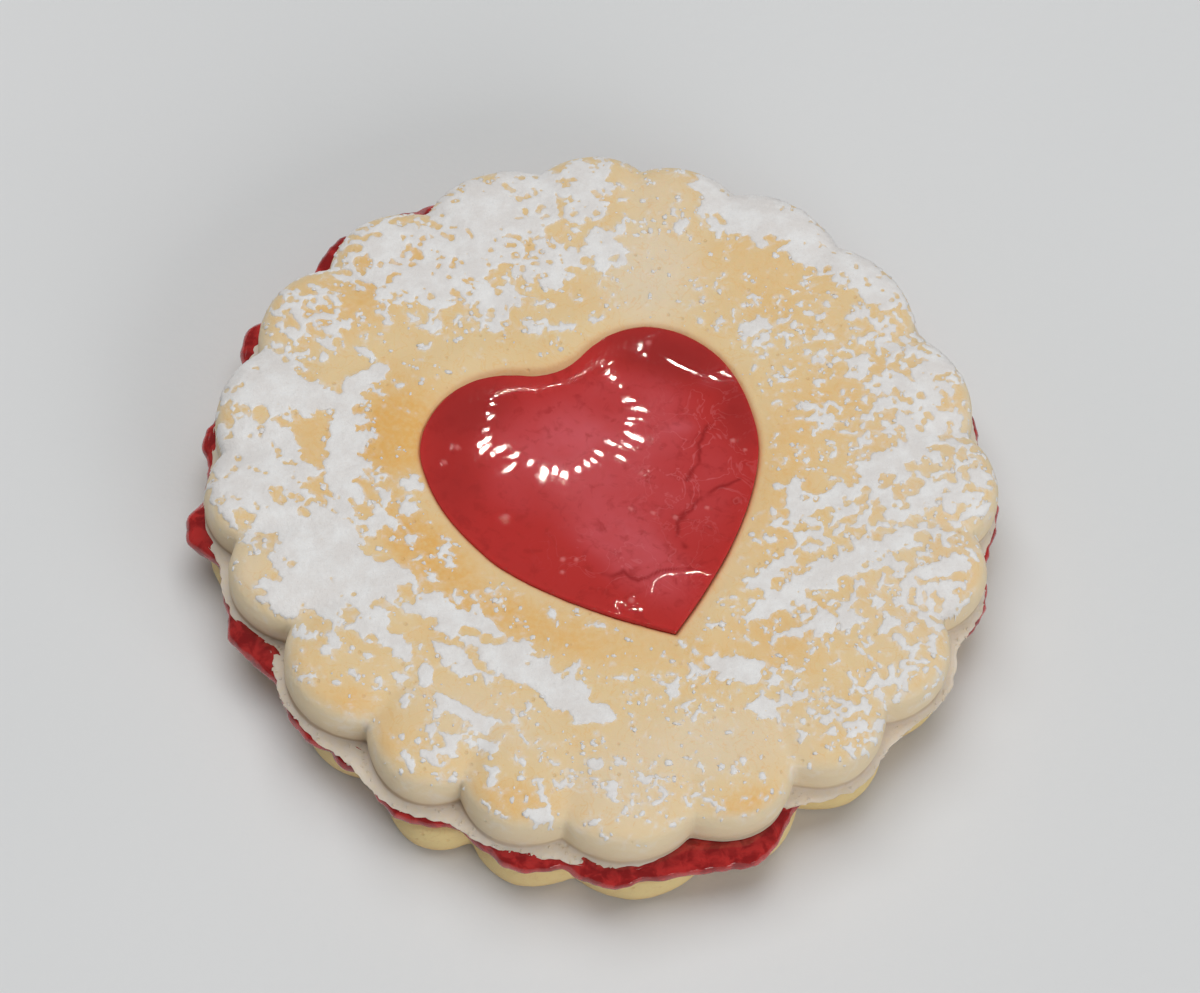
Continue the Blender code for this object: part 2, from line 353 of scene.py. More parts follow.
# %% Material recipe
class Recipe:
    """A material built node by node. Numbers that are the same all over go on the shader itself."""

    def __init__(self, name, **finish):
        self.material = bpy.data.materials.new(name)
        self.material.use_nodes = True
        self.tree = self.material.node_tree
        self.shader = self.tree.nodes["Principled BSDF"]
        for socket, value in finish.items():
            self.shader.inputs[socket.replace("_", " ")].default_value = value
        self.place = self.add("ShaderNodeTexCoord").outputs["Object"]

    def add(self, kind, settings=None, **inputs):
        node = self.tree.nodes.new(kind)
        for key, value in (settings or {}).items():
            setattr(node, key, value)
        for socket, value in inputs.items():
            self.feed(node.inputs[socket.replace("_", " ")], value)
        return node

    def feed(self, socket, value):
        if isinstance(value, bpy.types.NodeSocket):
            self.tree.links.new(value, socket)
        else:
            socket.default_value = value

    def noise(self, size, detail=2.0, roughness=0.5, distortion=0.0):
        node = self.add("ShaderNodeTexNoise", Vector=self.place, Scale=1 / (size * MM))
        node.inputs["Detail"].default_value = detail
        node.inputs["Roughness"].default_value = roughness
        node.inputs["Distortion"].default_value = distortion
        return node.outputs["Fac"]

    def lines(self, size, distortion):
        """How far a noise is from its middle value: near 0 along fine winding lines."""
        level = self.calc("SUBTRACT", self.noise(size, 3.0, 0.6, distortion), 0.5)
        return self.calc("ABSOLUTE", level)

    def cells(self, size):
        node = self.add("ShaderNodeTexVoronoi", Vector=self.place)
        node.inputs["Scale"].default_value = 1 / (size * MM)
        return node.outputs["Distance"]

    def field(self, name):
        return self.add("ShaderNodeAttribute", {"attribute_name": name}).outputs["Fac"]

    def spread(self, value, low, high, out_low=0.0, out_high=1.0):
        node = self.add("ShaderNodeMapRange", {"interpolation_type": "SMOOTHSTEP"}, Value=value)
        for socket, number in (
            ("From Min", low),
            ("From Max", high),
            ("To Min", out_low),
            ("To Max", out_high),
        ):
            node.inputs[socket].default_value = number
        return node.outputs["Result"]

    def calc(self, operation, first, second=0.0):
        node = self.add("ShaderNodeMath", {"operation": operation})
        self.feed(node.inputs[0], first)
        self.feed(node.inputs[1], second)
        return node.outputs[0]

    def times(self, first, second):
        return self.calc("MULTIPLY", first, second)

    def blend(self, share, first, second):
        node = self.add("ShaderNodeMix", {"data_type": "RGBA", "clamp_factor": True})
        self.feed(node.inputs[0], share)
        self.feed(node.inputs[6], first if isinstance(first, bpy.types.NodeSocket) else (*first, 1))
        self.feed(node.inputs[7], second if isinstance(second, bpy.types.NodeSocket) else (*second, 1))
        return node.outputs[2]

    def coats(self, colour, layers):
        """Lays coats over a colour, each one (share, tint)."""
        for share, tint in layers:
            colour = self.blend(share, colour, tint)
        return colour

    def bump(self, height, depth, under=None):
        node = self.add("ShaderNodeBump", Height=height)
        node.inputs["Distance"].default_value = depth * MM
        if under is not None:
            self.feed(node.inputs["Normal"], under)
        return node.outputs["Normal"]

    def finish(self, colour, roughness, normal):
        self.feed(self.shader.inputs["Base Color"], colour)
        self.feed(self.shader.inputs["Roughness"], roughness)
        self.feed(self.shader.inputs["Normal"], normal)
        print(f"{self.material.name}: {len(self.tree.nodes)} nodes")
        return self.material


# %% [markdown]
# ## Baked clay
#
# Polymer clay bakes to a matte, waxy cream. Chalk pastel gives it the browning of a real biscuit:
# orange at the heart and in a few spots of the rim, and next to nothing where a thumb wiped it
# off. Fields from the mesh say how brown, pale and dusty the clay is, where shade is painted into
# the creases, on the lower wall and at the lower biscuit's bottom, and where an orange glow is
# painted round the window; the noises break them up. A field that a mesh leaves out counts as zero.

# %% Clay finish
CREAM = (0.79, 0.60, 0.34)
ORANGE = (0.78, 0.45, 0.14)
PALE_CREAM = (0.78, 0.65, 0.47)
WALL_CLAY = (0.77, 0.63, 0.42)
# painted shade for the crease at the wall's foot and the lower part of the wall
CREASE_SHADE_BROWN = (0.42, 0.29, 0.20)
PORE_BROWN = (0.68, 0.40, 0.16)
CHALK = (0.80, 0.765, 0.74)
SKIRT_PINK = (0.74, 0.65, 0.56)
# the lip's toasted orange, with a painted glow of light through the jam in place of its shade
LIP_TOAST_AND_GLOW = (0.74, 0.33, 0.13)


def clay_finish(name, base, tan, pale):
    """Matte clay: pastel browning, wiped spots, a dust film, painted shade in creases, a painted glow."""
    clay = Recipe(name, Subsurface_Weight=0.12, Subsurface_Scale=0.0004, IOR=1.45)
    clay.shader.inputs["Subsurface Radius"].default_value = (1.0, 0.55, 0.3)
    clay.shader.inputs["Specular IOR Level"].default_value = 0.35
    broad = clay.noise(1.6, 3.0, 0.55)
    speckle = clay.noise(0.16, 3.0, 0.6)
    grit = clay.noise(0.05, 2.0, 0.6)
    # this field is pastel browning on the upper biscuit and painted shade at the lower biscuit's bottom
    browning = clay.times(clay.field("brown_and_shade"), clay.spread(speckle, 0.2, 0.75, 0.55, 1.25))
    browning = clay.calc("ADD", browning, clay.spread(broad, 0.45, 0.75, 0.0, 0.22))
    tan_clouds = clay.spread(clay.noise(0.45, 2.0, 0.5), 0.62, 0.8, 0.0, 0.25)
    tan_lines = clay.spread(clay.lines(0.7, 1.0), 0.0, 0.02, 0.30, 0.0)
    pores = clay.spread(clay.cells(0.5), 0.05, 0.13, 1.0, 0.0)
    smudge = clay.spread(clay.noise(0.7, 3.0, 0.6, 0.6), 0.5, 0.72, 0.0, 0.35)
    coats = (
        (browning, tan),
        (clay.field("pale"), pale),
        (tan_clouds, tan),
        (tan_lines, tan),
        (clay.times(pores, 0.35), PORE_BROWN),
        (clay.field("wall"), WALL_CLAY),
        (clay.times(smudge, clay.field("wall")), CHALK),
        (clay.times(clay.field("dust"), clay.spread(speckle, 0.42, 0.6, 0.1, 1.0)), CHALK),
        (clay.times(clay.field("skirt"), clay.spread(speckle, 0.3, 0.7, 0.6, 1.0)), SKIRT_PINK),
        # painted orange-red glow from the jam round the window, over the lip's toasted orange
        (clay.times(clay.field("lip_toast_and_glow"), 0.5), LIP_TOAST_AND_GLOW),
        # painted shade: the crease at the wall's foot and the lower wall turn darker brown
        (clay.field("painted_crease_shade"), CREASE_SHADE_BROWN),
    )
    colour = clay.coats(base, coats)
    matte = clay.spread(broad, 0.3, 0.7, 0.52, 0.68)
    normal = clay.bump(clay.calc("SUBTRACT", speckle, pores), 0.016)
    normal = clay.bump(grit, 0.004, normal)
    return clay.finish(colour, matte, normal)


baked_clay = clay_finish("baked_clay", CREAM, ORANGE, PALE_CREAM)

# %% [markdown]
# ## The upper biscuit
#
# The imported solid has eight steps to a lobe. The visible biscuit takes the same loops at 36 steps
# and rounds the profile between them: flat underside, thin skirt squeezed out over the jam,
# upright wall, soft shoulder, gently domed face and the rounded lip of the window. Real mesh
# carries all of it, because side views show the outline.

# %% Upper biscuit: loops
SKIRT_FILL = 0.6
SKIRT_FLAPS = (
    (-117, 17, 0.19),
    (-139, 5, 0.06),
    (-86, 10, 0.10),
    (-64, 10, -0.42),
    (-46, 7, 0.12),
    (-17, 10, 0.14),
    (35, 14, 0.10),
    (80, 20, 0.10),
    (150, 9, 0.04),
    (-160, 12, 0.06),
)  # middle and half width in degrees, and how far the flap stands out
WINDOW_LIP = 0.35
POWDER_ROOM = 0.03  # the face lies this much lower, so that its powder reaches the frame's top


def rim_mottle(angle, size, seed, octaves):
    """Noise along the rim, about -1 to 1, with waves of this size."""
    heading = np.radians(angle)
    ring = np.stack([np.cos(heading), np.sin(heading), 0 * heading], axis=1) * TIP_RADIUS
    return mottle(ring, size, seed, octaves)


def skirt_edge(angle):
    """How far the skirt stands out at these angles, ragged like torn clay."""
    torn = 0.06 * rim_mottle(angle, 0.22, 3, 3) + 0.06 * rim_mottle(angle, 1.1, 4, 2)
    return humps(angle, SKIRT_FLAPS) + torn


UPPER_WALL = (
    (0.17, -0.06, 0.10, 0.0),
    (0.25, -0.11, 0.06, 0.0),
    (0.45, -0.06, 0.04, 0.0),
    (0.80, -0.04, 0.04, 0.0),
    (1.08, -0.06, 0.04, 0.0),
    (1.34, -0.16, 0.07, 0.04),
    (1.52, -0.36, 0.14, 0.10),
)  # height over the foot, reach, softness and drop of each loop
foot = UPPER_FOOT - 0.03
face = FACE - POWDER_ROOM
skirt = {"fill": SKIRT_FILL, "extra": skirt_edge}
inner_rim = rim_loop(face - 0.01, -2.1, 0.8)
lip = heart_loop(face, WINDOW_LIP)
upper_loops = [
    heart_loop(foot),
    rim_loop(foot, -1.2, 0.3),
    rim_loop(foot + 0.01, -0.12, 0.3, **skirt),
    rim_loop(foot + 0.06, 0.0, 0.3, **skirt),
    rim_loop(foot + 0.11, -0.08, 0.3, **skirt),
    *[rim_loop(foot + up, reach, softness, drop=drop) for up, reach, softness, drop in UPPER_WALL],
    rim_loop(face - 0.08, -0.72, 0.28, drop=0.13),
    rim_loop(face - 0.03, -1.25, 0.50, drop=0.08),
    inner_rim,
    lip + (inner_rim - lip) * 0.45 + (0, 0, 0.01),
    lip,
    heart_loop(face - 0.05, WINDOW_LIP * 0.40),
    heart_loop(face - 0.20, 0.02),
]
upper_counts = [2, 2, 3, 4, 4, 3, 5, 6, 6, 6, 6, 7, 9, 10, 22, 18, 9, 6, 5]
upper_grid = rows_through(upper_loops, upper_counts, closed=True)
print("upper biscuit grid:", upper_grid.shape)

# %% [markdown]
# ### Dents, pores and colour fields
#
# The face is pushed about along its normals: broad hollows from the thumb, finer unevenness, and
# a little sag between rim and heart. Each wall gets faint dents. The same points then say how
# brown, pale or dusty the clay is, and where shade and a glow are painted on it.

# %% Upper biscuit: surface and fields
BROWN_SPOTS = (
    (-5.7, 0.5, 1.3, 1.6, 0, 0.95),
    (-4.4, -2.9, 1.9, 0.8, -35, 0.9),
    (-1.8, -4.6, 2.4, 0.7, -12, 0.65),
    (1.4, -4.8, 2.2, 0.8, 0, 0.35),
    (-7.6, 4.2, 1.5, 1.0, 30, 0.45),
    (-5.0, 6.3, 2.6, 1.4, 15, 0.35),
    (3.7, 7.0, 1.7, 1.3, -20, 0.30),
    (4.6, 0.6, 0.9, 3.4, 0, 0.35),
    (5.2, -3.9, 1.6, 0.9, 20, 0.3),
    (5.0, -8.9, 1.0, 0.5, 25, 0.75),
    (-5.4, -8.0, 1.2, 0.7, -40, 0.4),
    (-1.2, -9.7, 1.6, 0.5, -5, 0.45),
    (9.2, -1.6, 0.8, 1.8, 0, 0.5),
    (7, 3, 2.2, 2.2, 0, 0.25),
    (-7.6, -0.4, 1.0, 1.6, 0, 0.4),
)
PALE_SPOTS = (
    (0.4, 6.6, 1.3, 1.9, 0, 0.95),
    (0.2, 9.2, 1.2, 0.8, 0, 0.5),
    (3.6, -7.4, 2.6, 1.0, 15, 0.7),
    (1.6, -9.2, 1.6, 1.2, 0, 0.6),
    (-2.2, -7.6, 1.8, 0.9, -10, 0.5),
    (-9.4, -4.4, 1.2, 1.0, 60, 0.7),
    (8.6, 0.4, 1.7, 5.5, 0, 0.40),
)


def dent_upper(grid):
    """Moves the grid's points along its normals, as hands and tools did."""
    normals = row_normals(grid, closed=True)
    flat = grid.reshape(-1, 3)
    up = np.clip(normals.reshape(-1, 3)[:, 2], 0, 1)
    near_heart = smooth_step(heart_distance(flat), 0.1, 1.2)
    push = 0.030 * mottle(flat, 3.0, 11, 1) * near_heart + 0.014 * mottle(flat, 0.9, 12, 2)
    push += 0.006 * mottle(flat, 0.25, 13, 2)
    push -= 0.02 * up * near_heart
    return grid + normals * push.reshape(*grid.shape[:2], 1)


upper_grid = dent_upper(upper_grid)
upper_points = upper_grid.reshape(-1, 3)
upper_normals = row_normals(upper_grid, closed=True).reshape(-1, 3)
print(f"upper biscuit: face at {upper_points[:, 2].max():.3f} mm")

# %% [markdown]
# ## Where the powder lies
#
# White powder was dabbed on with a brush: thick on the left, in a band along the lower left, on
# the upper left and along the upper right rim, and broken into strokes and specks on the right.
# Oval patches give how much powder a place holds. Noise decides where exactly the white begins:
# the warped, worm-like noise leaves the small curled gaps that a dabbing brush leaves.

# %% Powder patches
DABBED = (
    (-9.4, 1.4, 1.5, 1.15, 0, 0.965),
    (-9.4, -0.9, 1.5, 1.5, 0, 0.93),
    (-6.95, -0.5, 2.2, 0.56, 97, 0.996),
    (-6.75, 1.95, 0.75, 0.30, 40, 0.99),
    (-8.0, 1.2, 0.8, 0.4, 0, 0.97),
    (-6.5, -3.6, 2.2, 1.1, -8, 0.975),
    (-7.5, -4.7, 1.1, 0.6, 0, 0.97),
    (-3.4, -4.85, 1.35, 0.60, -18, 0.992),
    (-1.7, -5.85, 1.45, 0.56, -28, 0.992),
    (-0.2, -6.65, 1.05, 0.50, -28, 0.99),
    (-3.2, -6.0, 0.7, 0.36, -30, 0.95),
    (0.8, -7.0, 0.35, 0.35, 0, 0.95),
    (-5.0, -5.7, 0.9, 0.27, -38, 0.96),
    (-3.9, -6.6, 0.45, 0.22, -85, 0.95),
    (-3.0, -7.4, 0.9, 0.20, -20, 0.95),
    (-3.3, -8.6, 0.6, 0.45, 0, 0.78),
    (-5.6, 6.0, 2.0, 1.2, 15, 0.91),
    (-3.2, 7.9, 1.9, 1.0, 20, 0.90),
    (-2.6, 6.4, 1.2, 0.8, 10, 0.72),
    (-4.7, 8.0, 1.2, 0.8, 20, 0.90),
    (-3.2, 9.2, 1.1, 0.6, 10, 0.78),
    (-1, 7, 0.7, 0.6, 0, 0.85),
    (-5.0, 4.95, 2.3, 0.5, 0, 0.80),
    (-6.9, 2.75, 0.32, 0.13, -20, 0.95),
    (5.1, -2.8, 1.1, 0.34, 42, 0.98),
    (4.7, -2.1, 0.8, 0.28, 45, 0.94),
    (6.5, -1.6, 1.1, 0.32, 38, 0.985),
    (7.8, -0.6, 0.8, 0.22, 35, 0.95),
    (6.0, -3.6, 0.9, 0.24, 22, 0.95),
    (9.0, -1.3, 1.2, 0.24, 26, 0.94),
    (9.6, -2.0, 0.5, 0.5, 0, 0.75),
    (5.0, 0.2, 0.6, 0.20, -85, 0.93),
    (5.7, 0.2, 1.0, 0.24, 40, 0.95),
    (7.4, 1.7, 1.3, 0.40, 43, 0.99),
    (8.4, 2.8, 0.6, 0.25, 60, 0.93),
    (8.5, 0.8, 0.7, 0.24, 50, 0.94),
    (4.1, -5.15, 1.2, 0.40, 5, 0.93),
    (4.9, -6.1, 0.4, 0.3, 0, 0.92),
    (3.0, 8.9, 1.6, 0.9, -8, 0.985),
    (4.8, 8.2, 1.3, 0.8, -30, 0.96),
    (6.3, 7.5, 1.2, 0.7, -45, 0.95),
    (2.6, 9.6, 1.5, 0.7, 0, 0.96),
    (-2.2, 9.3, 1.1, 0.6, 8, 0.88),
)  # strokes and dabs with clear edges
DUSTED = (
    (-7.9, 6.2, 1.5, 1.1, 30, 0.72),
    (-4.3, 5.2, 1.6, 0.5, 0, 0.60),
    (-1.5, 8.6, 0.9, 0.9, 0, 0.60),
    (-0.8, 7.4, 0.8, 0.6, 0, 0.40),
    (-4.6, 4.0, 3.0, 0.5, 6, 0.30),
    (-8.6, 3.6, 1.0, 1.3, 20, 0.62),
    (-8.3, -2.6, 1.3, 1.0, 0, 0.90),
    (-5.7, -2.1, 0.8, 1.2, 20, 0.48),
    (-5.6, -4.9, 1.0, 0.6, -20, 0.75),
    (-2.9, -6.0, 0.9, 0.4, -30, 0.70),
    (-6.4, -5.6, 1.5, 0.7, -10, 0.36),
    (-4.6, -7.2, 1.6, 0.9, -10, 0.15),
    (-2.4, -8.7, 0.9, 0.9, 0, 0.34),
    (-1.7, -8.0, 0.9, 0.7, 0, 0.30),
    (1.5, -8.8, 1.8, 0.9, 0, 0.30),
    (-0.7, -10.0, 0.9, 0.5, 0, 0.36),
    (2.6, -6.0, 1.0, 0.5, 0, 0.30),
    (5.6, -6.1, 1.1, 0.6, 0, 0.22),
    (7.3, -6.1, 0.9, 0.9, 0, 0.66),
    (8.3, -4.0, 1.3, 1.6, 0, 0.46),
    (5.7, -3.1, 1.4, 0.9, 10, 0.40),
    (6.6, -1.4, 1.8, 1.0, 35, 0.36),
    (5.2, -0.6, 0.8, 1.3, 0, 0.42),
    (7.6, 1.6, 1.4, 1.2, 45, 0.44),
    (8.3, -2.2, 1.3, 1.0, 0, 0.58),
    (7.0, 0.1, 1.6, 1.0, 20, 0.48),
    (9.3, 0.8, 1.0, 2.0, 0, 0.55),
    (8.1, 3.7, 1.2, 1.5, 0, 0.74),
    (7.0, 4.3, 0.7, 0.6, 0, 0.70),
    (6.3, 4.4, 1.2, 0.9, 0, 0.34),
    (5.7, 2.9, 1.0, 0.8, 0, 0.30),
    (3.6, 5.6, 0.8, 0.8, 0, 0.66),
    (4.9, 5.6, 0.9, 1.0, 0, 0.20),
    (6.9, 6.2, 1.3, 1.1, -45, 0.70),
    (8.4, 5.3, 0.9, 1.0, 0, 0.72),
    (1.2, 8.3, 1.0, 0.5, 0, 0.40),
)  # thin patches that fade out
WIPED_SPOTS = (
    (0.6, 6.1, 1.3, 2.0, 0, 1.0),
    (0.1, 9.3, 0.9, 0.8, 0, 0.7),
    (3.6, 7.0, 2.0, 0.6, -10, 0.8),
    (-5.0, 3.1, 2.6, 0.5, 12, 0.80),
    (-8.3, 4.9, 0.6, 0.28, 70, 0.75),
    (-5.7, 0.7, 0.5, 1.5, 0, 0.85),
    (3.6, -7.3, 2.4, 0.7, 8, 0.8),
    (0.8, -5.0, 2.0, 0.5, -5, 0.95),
    (7.6, -4.2, 1.0, 0.4, 10, 0.7),
)
BARE_OVALS = (
    (-7.65, 2.05, 0.66, 0.36, 32, 0.995),
    (-8.05, 0.0, 0.48, 0.24, 85, 0.97),
    (-9.35, 0.4, 0.20, 0.26, 0, 0.95),
    (-5.3, -3.1, 0.95, 0.34, 0, 0.99),
    (-4.75, -5.15, 0.48, 0.36, 45, 0.98),
    (-2.6, -6.85, 0.80, 0.36, -22, 0.99),
    (-0.4, -7.55, 0.75, 0.36, -15, 0.98),
    (-3.0, -5.15, 0.30, 0.15, 0, 0.97),
    (-2.3, -5.3, 0.36, 0.15, 0, 0.97),
    (-8.7, -4.1, 0.25, 0.5, 0, 0.95),
    (-4.0, -5.0, 0.25, 0.15, 0, 0.95),
    (-3.6, 5.9, 0.25, 0.20, 0, 0.96),
    (-2.4, 7.5, 0.30, 0.18, 60, 0.95),
)  # spots inside the powder that stayed free
FINE_FILM = (
    (-5.0, 6.6, 4.2, 2.2, 25, 1.0),
    (-8.6, 3.2, 1.4, 1.6, 0, 0.8),
    (8.2, 3.6, 1.4, 2.2, 0, 0.6),
)  # where the powder is a film with small gaps
OVERHANGS = ((-4.95, -1.05, 0.42, 0.24, 20, 0.97),)  # powder that crosses the edge of the heart
print(f"powder: {len(DABBED)} dabs, {len(DUSTED)} dusted patches, {len(BARE_OVALS)} gaps")

# %% Powder field
SPRINKLE = 0.08  # how much powder there is between the patches
MOTTLE_SPREAD = 0.252  # standard deviation of one noise
LOGIT_TO_SPREAD = 1.702  # turns a share into the level that a normal noise passes that often
STROKE_TURNS = (-20.0, 40.0)  # the way the brush went on the left and on the right
STROKE_STRETCH = 1.3
FILM_TURN = -12.0


def powder_amount(points):
    """The share of each place that is white, from 0 to 1."""
    amount = np.maximum(patches(points, DUSTED), SPRINKLE) * (1 - patches(points, WIPED_SPOTS))
    amount = 1 - (1 - amount) * (1 - patches(points, DABBED, 4))
    amount *= 1 - patches(points, BARE_OVALS, 3)
    amount *= smooth_step(heart_distance(points), 0.1, 0.8)
    return np.maximum(amount, patches(points, OVERHANGS))


def stroked(points, turn):
    """The points in axes turned along the brush and shrunk along it, so that noise is drawn out."""
    c, s = math.cos(math.radians(turn)), math.sin(math.radians(turn))
    along = (points[:, 0] * c + points[:, 1] * s) / STROKE_STRETCH
    across = points[:, 1] * c - points[:, 0] * s
    return np.stack([along, across, points[:, 2]], axis=1)


def mixed(share, first, second):
    """A mix of two noises that spreads as widely as either."""
    return ((1 - share) * first + share * second) / np.sqrt(share**2 + (1 - share) ** 2)


def powder_field(points):
    """Above zero where powder lies; its value says how far inside a flake the place is."""
    amount = np.clip(powder_amount(points), 0.002, 0.998)
    warped = points.copy()
    warped[:, 0] += 0.14 * mottle(points, 0.5, 21, 2)
    warped[:, 1] += 0.14 * mottle(points, 0.5, 22, 2)
    right = smooth_step(points[:, 0], 0.5, 3.5)
    left_worms = mottle(stroked(warped, STROKE_TURNS[0]), 0.32, 23, 1)
    right_worms = mottle(stroked(warped, STROKE_TURNS[1]), 0.23, 24, 1)
    film = mottle(stroked(points, FILM_TURN), 0.19, 27, 1)
    worms = mixed(patches(points, FINE_FILM, 2), mixed(right, left_worms, right_worms), film)
    flakes = mottle(warped, 0.80, 26, 1)
    specks = mottle(points, 0.13, 25, 1)
    sparse = 1 - smooth_step(amount, 0.15, 0.55)
    flake_share = 0.45 - 0.20 * sparse - 0.12 * right
    speck_share = 0.42 + 0.10 * sparse
    spread = MOTTLE_SPREAD * np.sqrt(1 + flake_share**2 + speck_share**2)
    texture = (worms + flake_share * flakes + speck_share * specks) / spread
    return texture + np.log(amount / (1 - amount)) / LOGIT_TO_SPREAD


# %% [markdown]
# ### The mesh of the upper biscuit
#
# Each point now gets its fields. The clay under powder is a little browner, because the pastel
# went on first and the powder over it. Shade is painted into the crease at the wall's foot and
# over the lower wall, most of all on the left, and an orange glow is painted round the window.

# %% Upper biscuit: mesh
FACE_HEIGHTS = (2.9, 3.2)  # between these the wall turns into the face
WALL_HEIGHTS = (3.0, 3.32)  # between these the untouched clay of the wall ends
WINDOW_REACH = 8  # no point of the window is further from the middle
brown_and_shade = patches(upper_points, BROWN_SPOTS)
pale = patches(upper_points, PALE_SPOTS)
on_face = smooth_step(upper_normals[:, 2], 0.25, 0.75) * smooth_step(upper_points[:, 2], *FACE_HEIGHTS)
dust = np.zeros(len(upper_points))
dust[on_face > 0] = smooth_step(powder_field(upper_points[on_face > 0]), -1.6, 0.3)
under_powder = powder_amount(upper_points)
outside = np.linalg.norm(upper_points[:, :2], axis=1) > WINDOW_REACH
# Painted shade: the lower wall darkens towards its foot, most on the left, and the crease at the foot gets
# a dark band.
low_wall_shade = 1 - smooth_step(upper_points[:, 2], foot + 0.25, foot + 1.1)
low_wall_shade *= 0.05 + 0.33 * smooth_step(-upper_points[:, 0], -1.0, 5.0)
low_wall_shade *= upper_points[:, 2] > foot + 0.16
foot_crease_shade = np.exp(-(((upper_points[:, 2] - foot - 0.20) / 0.05) ** 2))
upper_fields = {
    "brown_and_shade": np.clip(brown_and_shade + 0.30 * under_powder, 0, 1) * on_face,
    "pale": pale,
    "wall": 1 - smooth_step(upper_points[:, 2], *WALL_HEIGHTS),
    "dust": 0.6 * dust * on_face,
    "skirt": (1 - smooth_step(upper_points[:, 2], foot + 0.15, foot + 0.22)) * outside,
    # painted glow of light through the jam on the clay round the window, over its toasted orange
    "lip_toast_and_glow": np.exp(-((np.clip(heart_distance(upper_points), 0, None) / 0.16) ** 2)),
    # painted shade in the crease at the wall's foot and over the lower wall
    "painted_crease_shade": (0.45 * foot_crease_shade + low_wall_shade) * outside,
}
upper_quads = grid_faces(*upper_grid.shape[:2], wrap_rows=True)
biscuit_top = make_piece("upper_biscuit", upper_points, upper_quads, baked_clay, upper_fields)
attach(biscuit_top, "root")
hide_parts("biscuit_top")

# %% [markdown]
# ## The powder as a crust
#
# Powder is not paint: each flake stands a few hundredths of a millimetre above the clay and has an
# edge. A fine square grid is laid over the face, dropped onto the biscuit by ray casting, and
# lifted where the field is above zero. Where it is below, the grid dives under the clay and its
# faces are thrown away, so the clay itself cuts a crisp outline round each flake.

# %% Powder finish
powder = Recipe("white_powder", Specular_IOR_Level=0.2, Subsurface_Weight=0.15)
powder.shader.inputs["Subsurface Radius"].default_value = (1.0, 0.95, 0.9)
powder.shader.inputs["Subsurface Scale"].default_value = 0.0002
clumps = powder.noise(0.6, 4.0, 0.6)
grains = powder.noise(0.045, 2.0, 0.7)
# Tan at a flake's thin edge: partly clay showing through thin powder, partly painted shade along the edge.
thin_edge_and_shade = powder.spread(powder.field("depth"), 0.0, 0.25, 0.70, 0.0)
powder_coats = (
    (powder.spread(clumps, 0.35, 0.7), (0.83, 0.82, 0.805)),
    (powder.spread(grains, 0.58, 0.76, 0.0, 0.45), (0.62, 0.58, 0.55)),
    (thin_edge_and_shade, (0.80, 0.62, 0.39)),
)
powder_colour = powder.coats((0.76, 0.73, 0.705), powder_coats)
powder_normal = powder.bump(powder.noise(0.16, 3.0, 0.65), 0.02)
powder_normal = powder.bump(grains, 0.014, powder_normal)
white_powder = powder.finish(powder_colour, powder.spread(grains, 0.2, 0.8, 0.8, 0.95), powder_normal)

# %% Falling onto the biscuit
DROP_HEIGHT = 6.0
ON_TOP = (UPPER_FOOT + 0.5, DROP_HEIGHT)


def drop_onto(tree, flat, lowest, highest):
    """Where straight falls land on the tree between two heights, the upward normals, and which do."""
    places = np.zeros((len(flat), 3))
    normals = np.zeros((len(flat), 3))
    landed = np.zeros(len(flat), bool)
    down = Vector((0, 0, -1))
    for i, (x, y) in enumerate(flat):
        place, normal, _, _ = tree.ray_cast(Vector((x, y, DROP_HEIGHT)), down)
        if place is not None and lowest < place.z < highest:
            places[i], normals[i], landed[i] = place, normal, True
    places[:, :2] = flat
    normals[normals[:, 2] < 0] *= -1
    return places, normals, landed


upper_tree = BVHTree.FromPolygons(upper_points.tolist(), upper_quads)

# %% Powder crust
POWDER_STEP = 0.042
POWDER_DEPTH = 0.030
POWDER_SLOPE = 0.09  # how fast a flake rises from its edge
SINK = 0.05
OUTER_RADIUS = 10.9
side = int(2 * OUTER_RADIUS / POWDER_STEP)
axis = (np.arange(side) - (side - 1) / 2) * POWDER_STEP
grid_x, grid_y = np.meshgrid(axis, axis)
flat = np.stack([grid_x.ravel(), grid_y.ravel()], axis=1)
places, normals, landed = drop_onto(upper_tree, flat, *ON_TOP)
field = np.full(len(flat), -1.0)
field[landed] = powder_field(places[landed])
front = 1 - smooth_step(places[:, 1] - 0.5 * places[:, 0], -4.0, 2.0)
steep = 1 - smooth_step(normals[:, 2], 0.25, 0.8)
field[landed] -= (0.2 + 0.7 * front[landed]) * steep[landed]
rough = np.zeros(len(flat))
rough[landed] = mottle(places[landed], 0.10, 31, 2)
height = np.clip(field * POWDER_SLOPE, -SINK, POWDER_DEPTH) + 0.009 * rough * (field > 0.1)
crust = places + normals * height[:, None]
corner = np.arange(side - 1)[:, None] * side + np.arange(side - 1)[None, :]
quads = np.stack([corner, corner + 1, corner + side + 1, corner + side], axis=2).reshape(-1, 4)
quads = quads[landed[quads].all(axis=1) & (field[quads].max(axis=1) > 0)]
used, compact = np.unique(quads, return_inverse=True)
quads = compact.reshape(-1, 4).tolist()
powder_crust = make_piece("powder_crust", crust[used], quads, white_powder, {"depth": field[used]})
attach(powder_crust, "root")
print(f"powder covers {(field[landed] > 0).mean():.2f} of the face")

# %% [markdown]
# ## Loose grains
#
# Between the flakes lie single grains of the same powder, most of them close to a flake. Each is
# a small flattened lump of its own size, sunk a little into the clay. Crumbs of torn clay stick
# to the skirt in the same way.

# %% Lumps
LUMP_SINK = 0.12  # share of its radius that a lump sinks


